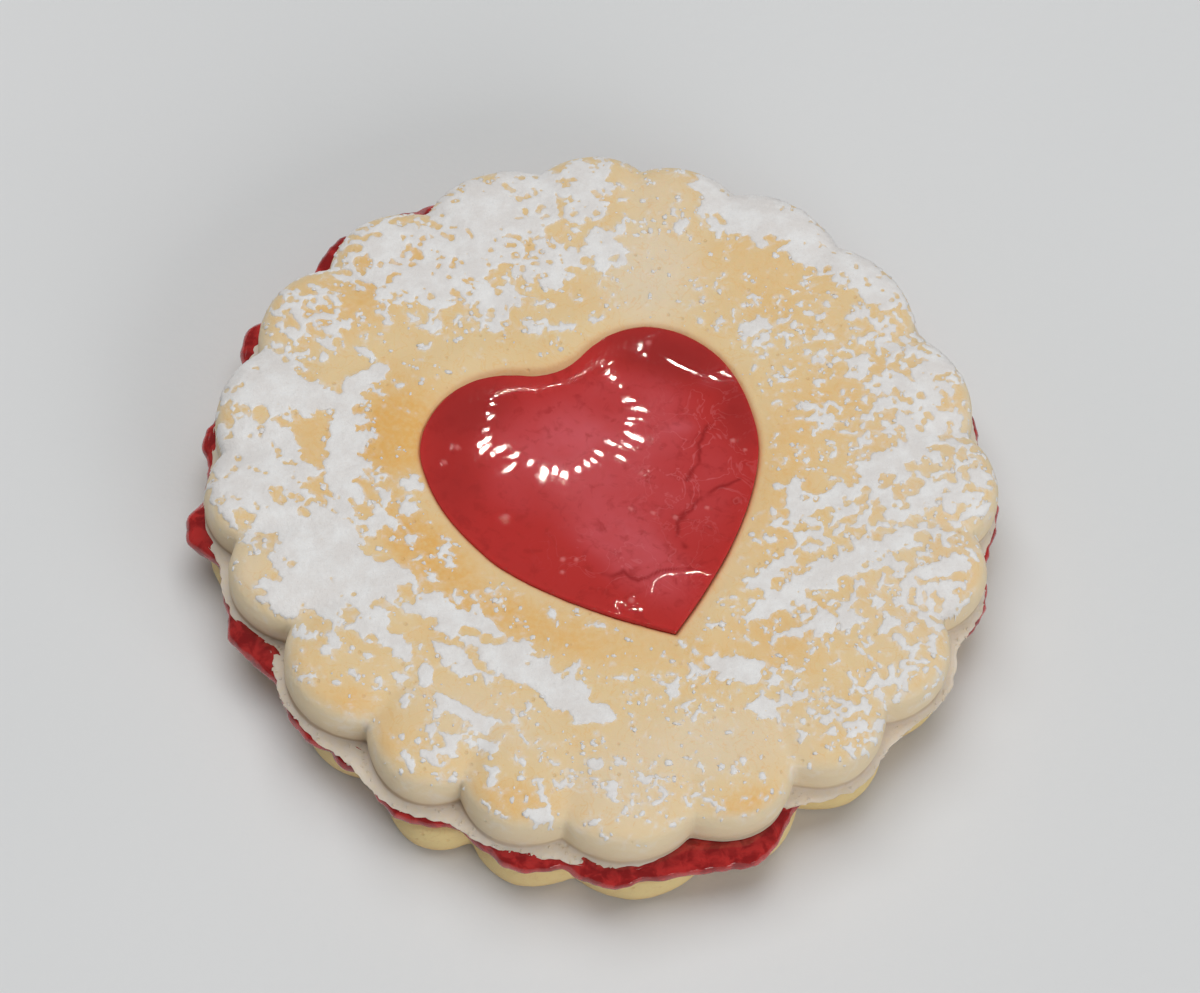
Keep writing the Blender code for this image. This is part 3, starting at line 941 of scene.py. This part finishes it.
def lumps_on(name, places, normals, radii, material, fields, chance):
    """One mesh of small uneven lumps that sit on the given places."""
    bm = bmesh.new()
    bmesh.ops.create_icosphere(bm, subdivisions=2, radius=1.0)
    ball = np.array([v.co for v in bm.verts])
    faces = np.array([[v.index for v in f.verts] for f in bm.faces])
    bm.free()
    stretch = chance.uniform(0.6, 1.4, (len(places), 1, 3))
    dents = 1 + 0.22 * chance.standard_normal((len(places), len(ball), 1))
    lumps = ball[None] * stretch * np.clip(dents, 0.6, 1.4) * radii[:, None, None]
    lift = (lumps * normals[:, None]).sum(axis=2, keepdims=True)
    lumps += (-LUMP_SINK * radii[:, None, None] - 0.5 * lift) * normals[:, None] + places[:, None]
    all_faces = faces[None] + len(ball) * np.arange(len(places))[:, None, None]
    count = len(places) * len(ball)
    full = {field: np.full(count, value) for field, value in fields.items()}
    return make_piece(name, lumps.reshape(-1, 3), all_faces.reshape(-1, 3).tolist(), material, full)


# %% Powder grains
GRAIN_TRIES = 5200
GRAIN_REACH = 10.3
GRAIN_RADIUS = (0.028, 0.085)
chance = np.random.default_rng(5)
tries = chance.uniform(-GRAIN_REACH, GRAIN_REACH, (GRAIN_TRIES, 2))
spots, spot_normals, hit = drop_onto(upper_tree, tries, *ON_TOP)
spots, spot_normals = spots[hit], spot_normals[hit]
near_flake = powder_field(spots)
likely = 0.08 + 0.85 * smooth_step(near_flake, -2.6, -0.6)
wanted = (near_flake < -0.1) & (chance.random(len(spots)) < likely)
wanted &= (heart_distance(spots) > 0.25) & (spot_normals[:, 2] > 0.5)
radii = GRAIN_RADIUS[0] + (GRAIN_RADIUS[1] - GRAIN_RADIUS[0]) * chance.random(wanted.sum()) ** 2
spots, spot_normals = spots[wanted], spot_normals[wanted]
grain_fields = {"depth": 1.0}
powder_grains = lumps_on("powder_grains", spots, spot_normals, radii, white_powder, grain_fields, chance)
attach(powder_grains, "root")
print(f"{len(spots)} grains")

# %% Clay crumbs
CRUMBS = 240
CRUMB_TRIES = 4 * CRUMBS
CRUMB_SECTOR = (-150, 10)
CRUMB_RIM = (9.6, 10.9)
CRUMB_RADIUS = (0.02, 0.05)
ON_SKIRT = (0, foot + 0.30)
crumb_angle = np.radians(chance.uniform(*CRUMB_SECTOR, CRUMB_TRIES))
crumb_rim = chance.uniform(*CRUMB_RIM, CRUMB_TRIES)
tries = np.stack([crumb_rim * np.cos(crumb_angle), crumb_rim * np.sin(crumb_angle)], axis=1)
spots, spot_normals, hit = drop_onto(upper_tree, tries, *ON_SKIRT)
spots, spot_normals = spots[hit][:CRUMBS], spot_normals[hit][:CRUMBS]
radii = chance.uniform(*CRUMB_RADIUS, len(spots))
crumb_fields = {"pale": 0.5, "wall": 0.5, "dust": 0.3, "skirt": 0.7}
clay_crumbs = lumps_on("clay_crumbs", spots, spot_normals, radii, baked_clay, crumb_fields, chance)
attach(clay_crumbs, "root")
print(f"{len(spots)} crumbs")

# %% [markdown]
# ## Jam
#
# The jam is a tinted resin: deep red, glossy, and a little pink where it is thick and milky; that
# pink is also a painted reflection of the broad overhead light. Along the far walls of the window
# it is darker red, partly thicker jam and partly painted shade of the recess. It is one body, from
# the ragged seam at the rim to the heart in the window. Its surface in the window climbs at the
# clay, dips in one wide bowl and rises in a few low swells, which bend the lamps' reflections.
# The heart cutter left a row of fine marks along the notch.

# %% Jam finish
TICK_SPACING = 0.17  # of the cutter's marks
TICK_WANDER = 9.0
RESIN_RED = (0.51, 0.028, 0.024)
# partly the milky resin's pink, partly a painted reflection of the broad overhead light
MILKY_SHEEN_PINK = (0.65, 0.108, 0.125)
SWIRL_RED = (0.32, 0.012, 0.010)
THREAD_PINK = (0.70, 0.17, 0.18)
# partly thicker jam, partly painted shade of the window's recess
DEEP_SHADE_RED = (0.33, 0.018, 0.016)
VEIN_RED = (0.27, 0.006, 0.006)
BUBBLE_PINK = (0.74, 0.24, 0.23)
SEAM_RED = (0.48, 0.025, 0.022)
resin = Recipe("jam", Subsurface_Weight=0.3, IOR=1.5, Coat_Weight=0.5, Coat_Roughness=0.02)
resin.shader.inputs["Subsurface Radius"].default_value = (1.0, 0.12, 0.10)
resin.shader.inputs["Subsurface Scale"].default_value = 0.0006
cloud = resin.noise(1.5, 3.0, 0.55, 0.3)
swirl = resin.noise(0.4, 3.0, 0.6, 0.5)
# milky pink that also stands for a painted reflection of the overhead light
milky_and_sheen = resin.times(resin.field("milky_and_sheen"), resin.spread(cloud, 0.3, 0.7, 0.6, 1.0))
thread = resin.times(resin.spread(resin.lines(0.8, 0.8), 0.0, 0.025, 0.45, 0.0), resin.field("threads"))
seam_colour = resin.blend(resin.spread(swirl, 0.38, 0.62), SEAM_RED, VEIN_RED)
jam_coats = (
    # milky pink with a painted reflection of the overhead light
    (milky_and_sheen, MILKY_SHEEN_PINK),
    (resin.spread(swirl, 0.5, 0.72, 0.0, 0.42), SWIRL_RED),
    (thread, THREAD_PINK),
    # darker red by the far walls: thicker jam and painted shade of the recess
    (resin.field("deep_and_shade"), DEEP_SHADE_RED),
    (resin.field("vein"), VEIN_RED),
    (resin.field("bubble"), BUBBLE_PINK),
    (resin.field("seam"), seam_colour),
)
jam_colour = resin.coats(RESIN_RED, jam_coats)
across = resin.add("ShaderNodeSeparateXYZ", Vector=resin.place).outputs["X"]
wander = resin.times(resin.noise(0.5, 1.0), TICK_WANDER)
phase = resin.times(across, 2 * math.pi / (TICK_SPACING * MM))
tick = resin.calc("SINE", resin.calc("ADD", phase, wander))
dull = resin.times(resin.spread(tick, -0.5, 0.1, 0.14, 0.0), resin.field("ticks"))
jam_gloss = resin.calc("ADD", resin.spread(swirl, 0.3, 0.8, 0.015, 0.035), dull)
jam_finish = resin.finish(jam_colour, jam_gloss, resin.bump(swirl, 0.0004))

# %% Jam shapes
JAM_BULGES = (
    (135, 12, 0.45),
    (160.5, 4.0, 0.38),
    (178.0, 2.5, 0.20),
    (-167, 4, 0.34),
    (-147, 5, 0.42),
    (-131.5, 4.0, 0.10),
    (-124, 2, 0.20),
    (-110, 5, 0.14),
    (-93.0, 4.5, 0.32),
    (-83.0, 4.5, 0.36),
    (-66, 10, 0.44),
    (-36, 15, -0.42),
    (20, 10, 0.12),
    (62, 9, 0.16),
    (96, 7, 0.12),
)
JAM_REACH = 0.10
JAM_FILL = 0.5
JAM_LEVEL = FACE - 0.36
BOWL_CENTRE = (-1.3, 1.80)
BOWL_SIZE = (2.05, 1.90)  # half length and half width of the ring of reflections in it
BOWL_TURN = -14.0
BOWL_RISE = 0.150
BOWL_CORE = 0.9
SWELLS = (
    (1.75, -2.75, 0.85, 0.85, 0, 0.115),
    (1.6, 3.7, 1.4, 0.60, -15, 0.022),
    (-5.2, 1.0, 0.8, 1.5, -10, 0.045),
    (-3.6, -2.4, 1.6, 0.9, -40, 0.020),
    (4.3, 0.6, 1.1, 2.7, 0, 0.065),
    (3.8, -2.3, 0.8, 1.0, 0, 0.075),
)
BUBBLES = (
    (-4.32, -0.18, 0.07),
    (-4.05, 0.35, 0.08),
    (-2.48, -1.55, 0.09),
    (-0.83, -2.60, 0.07),
    (-0.48, -2.55, 0.06),
    (-0.80, -3.00, 0.06),
    (0.90, 0.40, 0.07),
    (0.75, -0.75, 0.06),
    (1.35, -0.80, 0.06),
    (1.95, -0.85, 0.07),
    (2.75, -0.45, 0.06),
    (3.20, 1.70, 0.07),
    (3.55, 1.45, 0.05),
    (0.60, 4.40, 0.08),
    (1.10, -3.60, 0.08),
)
WRINKLES = (
    ((3.5, 0.5), (2.9, 0.1), (2.3, -0.5), (2.0, -1.1), (2.05, -1.5), (2.3, -1.7)),
    ((2.5, 2.1), (2.3, 1.5), (2.35, 0.9), (2.1, 0.3)),
    ((0.3, -2.95), (0.8, -2.8), (1.2, -3.0), (1.7, -2.65), (2.6, -2.45)),
)


# %% Jam surface
def line_distance(points, corners):
    """Distance in the plane from a line through the corners."""
    best = np.full(len(points), 1e9)
    for start, end in zip(corners, corners[1:]):
        a, edge = np.array(start), np.array(end) - np.array(start)
        t = np.clip((points[:, :2] - a) @ edge / (edge @ edge), 0, 1)
        best = np.minimum(best, np.linalg.norm(points[:, :2] - a - t[:, None] * edge, axis=1))
    return best


def bubble_strength(points):
    """1 on the bubbles under the skin of the jam, fading to 0 beside them."""
    strength = np.zeros(len(points))
    for x, y, radius in BUBBLES:
        away = np.hypot(points[:, 0] - x, points[:, 1] - y) / radius
        strength = np.maximum(strength, np.exp(-(away**4)))
    return strength


def vein_strength(points):
    """1 along the wrinkles, fading to 0 beside them."""
    strength = np.zeros(len(points))
    wobbling = points.copy()
    wobbling[:, 0] += 0.12 * mottle(points, 0.5, 45, 2)
    wobbling[:, 1] += 0.12 * mottle(points, 0.5, 46, 2)
    for corners in WRINKLES:
        strength = np.maximum(strength, np.exp(-((line_distance(wobbling, corners) / 0.055) ** 2)))
    return strength * smooth_step(mottle(points, 0.5, 47, 1), -0.8, -0.1)


def tick_strength(points):
    """1 in the narrow band along the notch of the heart where the cutter's marks show."""
    inside = np.clip(-heart_distance(points), 0, None)
    band = np.exp(-(((inside - 0.30) / 0.18) ** 4))
    return band * (1 - smooth_step(points[:, 0], 0.3, 1.1)) * smooth_step(points[:, 1], 1.0, 2.0)


def jam_height(points):
    """Height of the jam in the window: a bowl, low swells, a climb along the clay, and bubbles."""
    inside = np.clip(-heart_distance(points), 0, None)
    bowl = oval_distance(points, *BOWL_CENTRE, *BOWL_SIZE, BOWL_TURN)
    height = JAM_LEVEL + BOWL_RISE * (np.sqrt(bowl**2 + BOWL_CORE**2) - BOWL_CORE)
    for *oval, rise in SWELLS:
        height += rise * np.exp(-(oval_distance(points, *oval) ** 2) / 2)
    climbs = 1 - smooth_step(points[:, 0], 0.3, 1.1)
    height += 0.042 * np.exp(-inside / 0.2) * climbs
    height += 0.0006 * mottle(points, 0.7, 41, 1) + 0.00012 * mottle(points, 0.2, 42, 1)
    height += 0.025 * bubble_strength(points)
    return height


def jam_edge(angle):
    """How far the squeezed jam stands out at these angles, with blobs and drips."""
    blobs = 0.09 * rim_mottle(angle, 0.8, 5, 2) + 0.03 * rim_mottle(angle, 0.25, 6, 2)
    return humps(angle, JAM_BULGES) + blobs


# %% Jam mesh
window = heart_loop(0.0, 0.05)
middle = np.concatenate([HEART_MIDDLE, [0.0]])
squeezed = {"fill": JAM_FILL, "extra": jam_edge}
jam_low = LOWER_TOP - 0.03
jam_top = UPPER_FOOT + 0.02
jam_loops = [
    rim_loop(jam_low, JAM_REACH - 0.9, 0.5),
    rim_loop(jam_low + 0.01, JAM_REACH - 0.16, 0.5, **squeezed),
    rim_loop(jam_low + 0.13, JAM_REACH - 0.02, 0.5, **squeezed),
    rim_loop(jam_low + 0.25, JAM_REACH, 0.5, **squeezed),
    rim_loop(jam_low + 0.38, JAM_REACH - 0.04, 0.5, **squeezed),
    rim_loop(jam_top - 0.01, JAM_REACH - 0.18, 0.5, **squeezed),
    rim_loop(jam_top, JAM_REACH - 0.9, 0.5),
    window + (0, 0, jam_top),
    window + (0, 0, JAM_LEVEL - 0.15),
]
SEAM_ROWS = slice(4, 23)
WINDOW_ROWS = 66
jam_grid = rows_through(jam_loops, [3, 5, 5, 5, 5, 3, 4, 5])
rim_rows = jam_grid[SEAM_ROWS]
lumps = mottle(rim_rows.reshape(-1, 3), 0.5, 44, 2).reshape(rim_rows.shape[:2])
rim_rows *= 1 + 0.005 * lumps[:, :, None] * (1, 1, 0)
share = (1 - np.linspace(0, 1, WINDOW_ROWS) ** 1.25)[:-1, None, None]
inner = middle + (window - middle) * share
inner[:, :, 2] = jam_height(inner.reshape(-1, 3)).reshape(inner.shape[:2])
jam_grid = np.concatenate([jam_grid[:-1], inner])
top_pole = middle + (0, 0, jam_height(middle[None])[0])
bottom_pole = np.array([0.0, 0.0, jam_low])
jam_points = np.concatenate([jam_grid.reshape(-1, 3), top_pole[None], bottom_pole[None]])
print("jam grid:", jam_grid.shape)

# %% Jam colours
# where the milky pink and the painted reflection of the overhead light lie
MILKY_SHEEN_SPOTS = (
    (-0.9, 1.0, 2.2, 1.3, 5, 0.95),
    (0.9, -2.0, 1.8, 0.9, -38, 0.95),
    (0.3, -0.5, 1.4, 1.3, 0, 0.50),
    (1.2, 2.1, 0.9, 1.2, 0, 0.55),
    (-0.2, 2.9, 1.3, 0.5, 20, 0.35),
    (-2.0, -0.6, 1.2, 0.8, 0, 0.25),
    (2.4, 0.2, 1.1, 1.7, 0, 0.30),
    (2.4, 3.5, 0.35, 0.25, 0, 0.50),
    (1.7, 1.95, 0.45, 0.20, 10, 0.70),
)
# darker red by the window's walls: thicker jam and painted shade of the recess
DEEP_SHADE_SPOTS = (
    (1.2, 4.1, 2.0, 0.8, -12, 0.85),
    (-3.9, 1.6, 1.4, 0.9, 40, 0.75),
    (3.3, 2.6, 0.6, 1.2, 20, 0.60),
    (-4.0, -0.6, 0.8, 1.3, 10, 0.45),
)
THREADED = (
    (2.3, 0.9, 1.6, 2.2, 0, 1.0),
    (1.2, -2.4, 1.6, 0.9, 0, 0.8),
    (-0.3, -2.3, 1.2, 0.8, 0, 0.4),
    (2.6, 3.2, 0.8, 0.6, -30, 1.0),
)  # where fine pale threads run through the resin
in_window = jam_points[:, 2] > UPPER_FOOT + 0.5
jam_fields = {
    # milky pink with a painted reflection of the overhead light
    "milky_and_sheen": patches(jam_points, MILKY_SHEEN_SPOTS) * in_window,
    # painted shade of the recess, over the deeper red of thicker jam
    "deep_and_shade": patches(jam_points, DEEP_SHADE_SPOTS) * in_window,
    "vein": 0.75 * vein_strength(jam_points) * in_window,
    "threads": patches(jam_points, THREADED) * in_window,
    "bubble": 0.6 * bubble_strength(jam_points) * in_window,
    "ticks": tick_strength(jam_points) * in_window,
    "seam": 1 - smooth_step(jam_points[:, 2], 1.9, 2.4),
}
jam_faces = capped_faces(*jam_grid.shape[:2])
jam = make_piece("jam_filling", jam_points, jam_faces, jam_finish, jam_fields)
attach(jam, "root")
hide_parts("jam")

# %% [markdown]
# ## The lower biscuit
#
# The lower biscuit was cut with the same cutter, and lies a few degrees turned and a little nearer
# to the front. Its clay is yellower and bare, with rounded edges above and below, and towards its
# bottom it is painted darker tan as shade under the rounded edge.

# %% Lower biscuit
LOWER_TURN = 3.0
LOWER_SHIFT = (-0.05, -0.22)
CREAM_YELLOW = (0.76, 0.59, 0.28)
CREAM_TAN = (0.66, 0.42, 0.20)
cream_clay = clay_finish("cream_clay", CREAM_YELLOW, CREAM_TAN, PALE_CREAM)
LOWER_UNEVEN = ((-143.0, 26.0, -0.42), (178.0, 20.0, -0.20), (-38.0, 26.0, -0.20))


def lower_edge(angle):
    """How far the lower biscuit stands out at these angles."""
    return humps(angle, LOWER_UNEVEN)


LOWER_PROFILE = (
    (0.0, -0.40, 0.30),
    (0.12, -0.12, 0.15),
    (0.40, -0.01, 0.08),
    (0.95, 0.0, 0.08),
    (1.22, -0.08, 0.15),
    (LOWER_TOP, -0.30, 0.30),
    (LOWER_TOP + 0.01, -1.3, 0.30),
)  # height, reach and softness of each loop
turned = {"turn": LOWER_TURN, "shift": LOWER_SHIFT, "extra": lower_edge}
lower_loops = [rim_loop(*loop, **turned) for loop in LOWER_PROFILE]
lower_grid = rows_through(lower_loops, [5, 6, 8, 6, 5, 4])
lower_normals = row_normals(lower_grid, closed=False)
lower_flat = lower_grid.reshape(-1, 3)
push = 0.02 * mottle(lower_flat, 1.2, 51, 2) + 0.008 * mottle(lower_flat, 0.3, 52, 2)
push *= smooth_step(lower_flat[:, 2], 0.0, 0.15)
lower_flat = lower_flat + lower_normals.reshape(-1, 3) * push[:, None]
lower_points = np.concatenate([lower_flat, [[0, 0, LOWER_TOP + 0.01]], [[0, 0, 0.0]]])
lower_faces = capped_faces(*lower_grid.shape[:2])
# painted shade: darker tan towards the bottom, under the rounded lower edge
lower_fields = {"brown_and_shade": 0.5 * (1 - smooth_step(lower_points[:, 2], 0.1, 0.7))}
biscuit_bottom = make_piece("lower_biscuit", lower_points, lower_faces, cream_clay, lower_fields)
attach(biscuit_bottom, "root")
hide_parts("biscuit_bottom")

# %% [markdown]
# ## Table, light and camera
#
# A plain pale table and soft studio light. A ring of small lamps hangs behind the cookie, where its
# jam mirrors them as a string of bright dots. A wide fill lights the front, and a low strip gives
# the seam its gloss.

# %% Table
floor_mesh = bpy.data.meshes.new("table")
floor_bm = bmesh.new()
bmesh.ops.create_grid(floor_bm, x_segments=1, y_segments=1, size=0.6)
floor_bm.to_mesh(floor_mesh)
floor_bm.free()
floor = in_scene("table", floor_mesh)
paper = Recipe("table_paper", Specular_IOR_Level=0.2)
paper_clouds = paper.spread(paper.noise(30.0, 2.0), 0.3, 0.7)
paper_tone = paper.blend(paper_clouds, (0.70, 0.71, 0.71), (0.73, 0.735, 0.735))
paper_gloss = paper.spread(paper.noise(5.0), 0.2, 0.8, 0.7, 0.8)
floor_mesh.materials.append(paper.finish(paper_tone, paper_gloss, paper.bump(paper.noise(0.4), 0.01)))
print("table:", tuple(round(side, 2) for side in floor.dimensions), "m")

# %% Lights
TARGET = Vector((-0.1, -0.35, 3.0)) * MM
VIEW_ELEVATION = math.radians(60.7)
MIRROR = Vector((0, math.cos(VIEW_ELEVATION), math.sin(VIEW_ELEVATION)))


def area_light(name, place, width, power, colour=(1, 1, 1), height=None):
    """An area light that faces the cookie, square unless it has a height."""
    data = bpy.data.lights.new(name, "AREA")
    data.shape = "RECTANGLE"
    data.size = width
    data.size_y = width if height is None else height
    data.energy = power
    data.color = colour
    light = in_scene(name, data)
    light.location = place
    light.rotation_mode = "QUATERNION"
    light.rotation_quaternion = (TARGET - Vector(place)).to_track_quat("-Z", "Y")
    return light


ceiling = area_light("ceiling", (-0.05, 0.10, 0.42), 0.36, 1.385)
ceiling.visible_glossy = False
LAMP_DISTANCE = 0.30
LAMPS = 46
LAMP_RING = (0.025, 0.034)
LAMP_SIZE = 0.0010
LAMP_GLOW = 500  # watts for each square metre
LAMP_COLOUR = (1.0, 0.95, 0.84)
LAMPS_OUT = 0.08  # share of the lamps that are missing
lamp_right = Vector((1, 0, 0))
lamp_up = MIRROR.cross(lamp_right)
lamp_chance = np.random.default_rng(12)
for number in range(LAMPS):
    turn = 2 * math.pi * (number + lamp_chance.uniform(-0.25, 0.25)) / LAMPS
    reach = lamp_chance.uniform(0.95, 1.05)
    size = LAMP_SIZE * lamp_chance.uniform(0.6, 1.4)
    if lamp_chance.random() < LAMPS_OUT:
        continue
    aside = lamp_right * LAMP_RING[0] * math.cos(turn) + lamp_up * LAMP_RING[1] * math.sin(turn)
    place = TARGET + MIRROR * LAMP_DISTANCE + aside * reach
    lamp = area_light(f"lamp_{number:02d}", place, size, LAMP_GLOW * size**2, LAMP_COLOUR)
    lamp.visible_diffuse = False
fill_light = area_light("front_fill", (0.30, -0.33, 0.18), 0.30, 1.00)
fill_light.visible_glossy = False
seam_glint = area_light("seam_glint", (0.33, -0.36, 0.028), 0.20, 0.14, height=0.036)
seam_glint.visible_diffuse = False
world = bpy.data.worlds.new("soft_room")
bpy.context.scene.world = world
world.use_nodes = True
world.node_tree.nodes["Background"].inputs["Color"].default_value = (0.95, 0.97, 1.0, 1)
world.node_tree.nodes["Background"].inputs["Strength"].default_value = 0.16
bpy.context.scene.view_settings.view_transform = "Standard"
print("lights:", len(bpy.data.lights))

# %% Camera
VIEW_DISTANCE = 0.1321
VIEW_ROLL = math.radians(8.2)
LENS = 149.0
camera = in_scene("camera", bpy.data.cameras.new("camera"))
camera.data.lens = LENS
camera.data.sensor_width = 36.0
camera.data.clip_start = 0.005
camera.data.clip_end = 5.0
toward = Vector((0, -math.cos(VIEW_ELEVATION), math.sin(VIEW_ELEVATION)))
camera.location = TARGET + toward * VIEW_DISTANCE
camera.rotation_euler = (-toward).to_track_quat("-Z", "Y").to_euler("XYZ")
camera.rotation_euler.rotate_axis("Z", VIEW_ROLL)
bpy.context.scene.camera = camera
print(f"camera: {camera.location.length:.3f} m from the middle")
